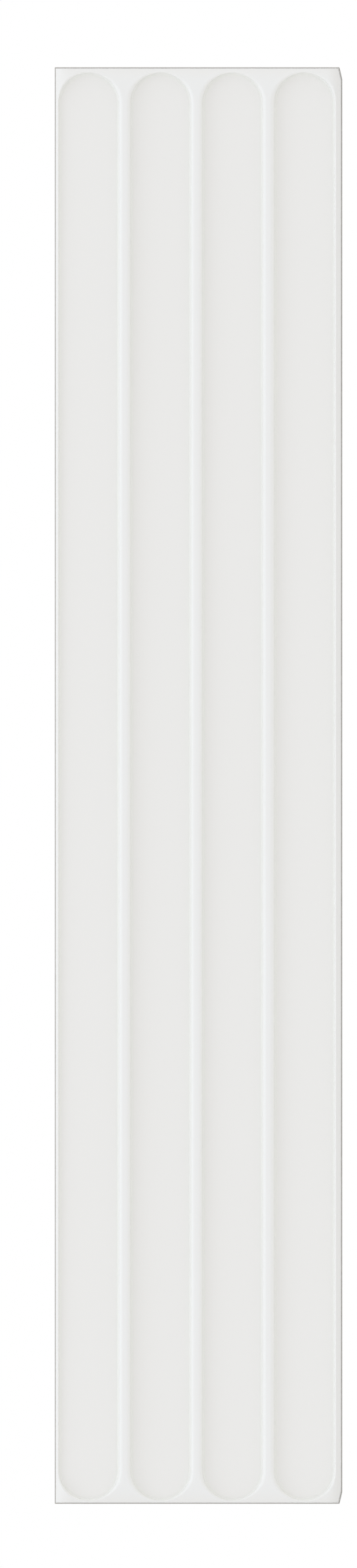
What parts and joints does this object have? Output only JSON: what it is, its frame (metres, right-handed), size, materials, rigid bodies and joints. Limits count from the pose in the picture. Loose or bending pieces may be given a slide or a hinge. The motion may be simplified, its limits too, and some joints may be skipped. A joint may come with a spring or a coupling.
{
  "type": "ceramic skirting tile",
  "caption": "Long white glazed skirting tile with parallel round-ended flutes, rounded ribs, rolled long edges and eased corners on one side.",
  "frame": {"origin": "middle of the flat bedding face at the tile's back", "axes": "+Z along the tile's length, upwards as pictured; -Y is the way the fluted glazed face looks; +X towards the long edge with the two cut corners"},
  "size_m": [0.12, 0.011, 0.6],
  "materials": {
    "white_glaze": "satin white glaze on the face and rolled edges, bare pale biscuit on the back"
  },
  "bodies": {
    "root": {"skirting_tile": "white_glaze"}
  },
  "joints": []
}
